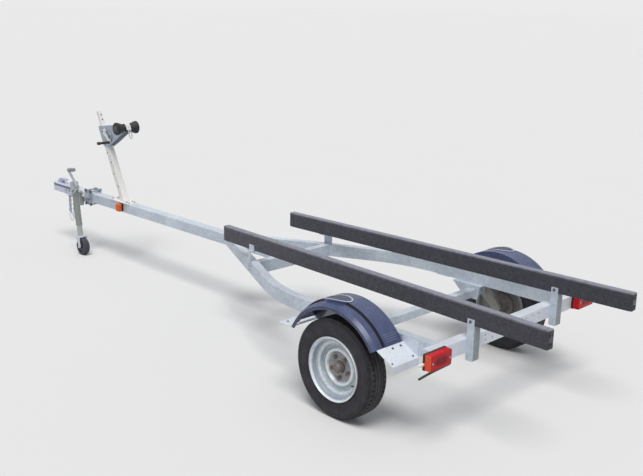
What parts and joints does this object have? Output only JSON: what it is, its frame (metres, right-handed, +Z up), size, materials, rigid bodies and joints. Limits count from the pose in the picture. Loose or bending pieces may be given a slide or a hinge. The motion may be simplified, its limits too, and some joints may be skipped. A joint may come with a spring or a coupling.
{
  "type": "boat trailer",
  "caption": "Single-axle galvanised trailer for a small boat: two carpeted bunks, winch post with bow stop, ball coupler and swivel tongue jack",
  "frame": {"origin": "on the ground under the middle of the trailer's length, on its middle plane", "axes": "+X forward to the coupler, +Y to the left of travel, +Z up; the ground is Z = 0"},
  "size_m": [5.1855, 1.584, 1.177],
  "materials": {
    "galvanised": "hot-dip galvanised, spangled",
    "coupler_steel": "zinc plated",
    "zinc_hardware": "bright zinc plated",
    "rim_steel": "hot-dip galvanised, spangled",
    "hub_steel": "dull with light rust",
    "tyre_rubber": "worn, dusty",
    "fender_plastic": "moulded, slight sheen",
    "bunk_carpet": "marine carpet",
    "lamp_base_plastic": "moulded",
    "red_lens": "clear coloured lens",
    "amber_lens": "clear coloured lens",
    "bow_rubber": "moulded",
    "strap_webbing": "woven",
    "grip_plastic": "moulded",
    "jack_paint": "satin",
    "leg_zinc": "zinc plated",
    "jack_wheel_plastic": "moulded"
  },
  "bodies": {
    "trailer": {"left_frame_rail": "galvanised", "right_frame_rail": "galvanised", "front_cross_member": "galvanised", "rear_cross_member": "galvanised", "tongue_beam": "galvanised", "axle_beam": "galvanised", "left_trailing_arm": "galvanised", "right_trailing_arm": "galvanised", "left_fender_front_bracket": "galvanised", "right_fender_front_bracket": "galvanised", "left_fender_rear_step": "galvanised", "right_fender_rear_step": "galvanised", "left_rear_bunk_bracket": "galvanised", "right_rear_bunk_bracket": "galvanised", "left_front_bunk_bracket": "galvanised", "right_front_bunk_bracket": "galvanised", "winch_post": "galvanised", "winch_mast": "galvanised", "winch_bracket": "galvanised", "coupler_body": "coupler_steel", "coupler_latch": "coupler_steel", "left_safety_chain": "zinc_hardware", "right_safety_chain": "zinc_hardware", "bow_stop_shaft": "zinc_hardware", "winch_hook": "zinc_hardware", "left_fender": "fender_plastic", "right_fender": "fender_plastic", "left_bunk": "bunk_carpet", "right_bunk": "bunk_carpet", "left_tail_lamp_base": "lamp_base_plastic", "right_tail_lamp_base": "lamp_base_plastic", "left_tail_lamp_lens": "red_lens", "right_tail_lamp_lens": "red_lens", "left_marker_lamp": "amber_lens", "right_marker_lamp": "amber_lens", "bow_stop": "bow_rubber", "winch_strap": "strap_webbing", "jack_mount": "jack_paint"},
    "left_wheel": {"left_wheel_rim": "rim_steel", "left_tyre": "tyre_rubber", "left_wheel_hub": "hub_steel"},
    "right_wheel": {"right_wheel_rim": "rim_steel", "right_tyre": "tyre_rubber", "right_wheel_hub": "hub_steel"},
    "jack": {"jack_tube": "jack_paint", "jack_gearbox": "jack_paint", "jack_crank": "zinc_hardware", "jack_grip": "grip_plastic"},
    "jack_leg": {"jack_leg": "leg_zinc"},
    "jack_caster": {"jack_fork": "zinc_hardware"},
    "jack_roller": {"jack_wheel": "jack_wheel_plastic"},
    "winch_crank": {"winch_crank": "zinc_hardware", "winch_grip": "grip_plastic"},
    "winch_drum": {"winch_drum": "zinc_hardware", "winch_strap_roll": "strap_webbing"}
  },
  "joints": [
    {"name": "left_wheel_spin", "type": "hinge", "parent": "trailer", "child": "left_wheel", "pos_m": [-1.611, 0.718, 0.2655], "axis": [0, 1, 0], "continuous": true},
    {"name": "right_wheel_spin", "type": "hinge", "parent": "trailer", "child": "right_wheel", "pos_m": [-1.611, -0.718, 0.2655], "axis": [0, 1, 0], "continuous": true},
    {"name": "jack_swing", "type": "hinge", "parent": "trailer", "child": "jack", "pos_m": [1.979, 0.16, 0.452], "axis": [0, 1, 0], "range_deg": [0, 82]},
    {"name": "jack_leg_slide", "type": "slide", "parent": "jack", "child": "jack_leg", "axis": [0.1392, 0, 0.9903], "range_m": [-0.17, 0.08]},
    {"name": "jack_caster_swivel", "type": "hinge", "parent": "jack_leg", "child": "jack_caster", "pos_m": [1.93671, 0.16, 0.15111], "axis": [0.1392, 0, 0.9903], "continuous": true},
    {"name": "jack_wheel_spin", "type": "hinge", "parent": "jack_caster", "child": "jack_roller", "pos_m": [1.9031, 0.16, 0.07], "axis": [0, 1, 0], "continuous": true},
    {"name": "winch_crank_turn", "type": "hinge", "parent": "trailer", "child": "winch_crank", "pos_m": [1.689, 0.06, 1.036], "axis": [0, 1, 0], "continuous": true},
    {"name": "winch_drum_turn", "type": "hinge", "parent": "trailer", "child": "winch_drum", "pos_m": [1.641, 0, 0.994], "axis": [0, 1, 0], "continuous": true}
  ],
  "couplings": [
    {"joint": "winch_drum_turn", "follows": "winch_crank_turn", "ratio": -0.4155}
  ]
}
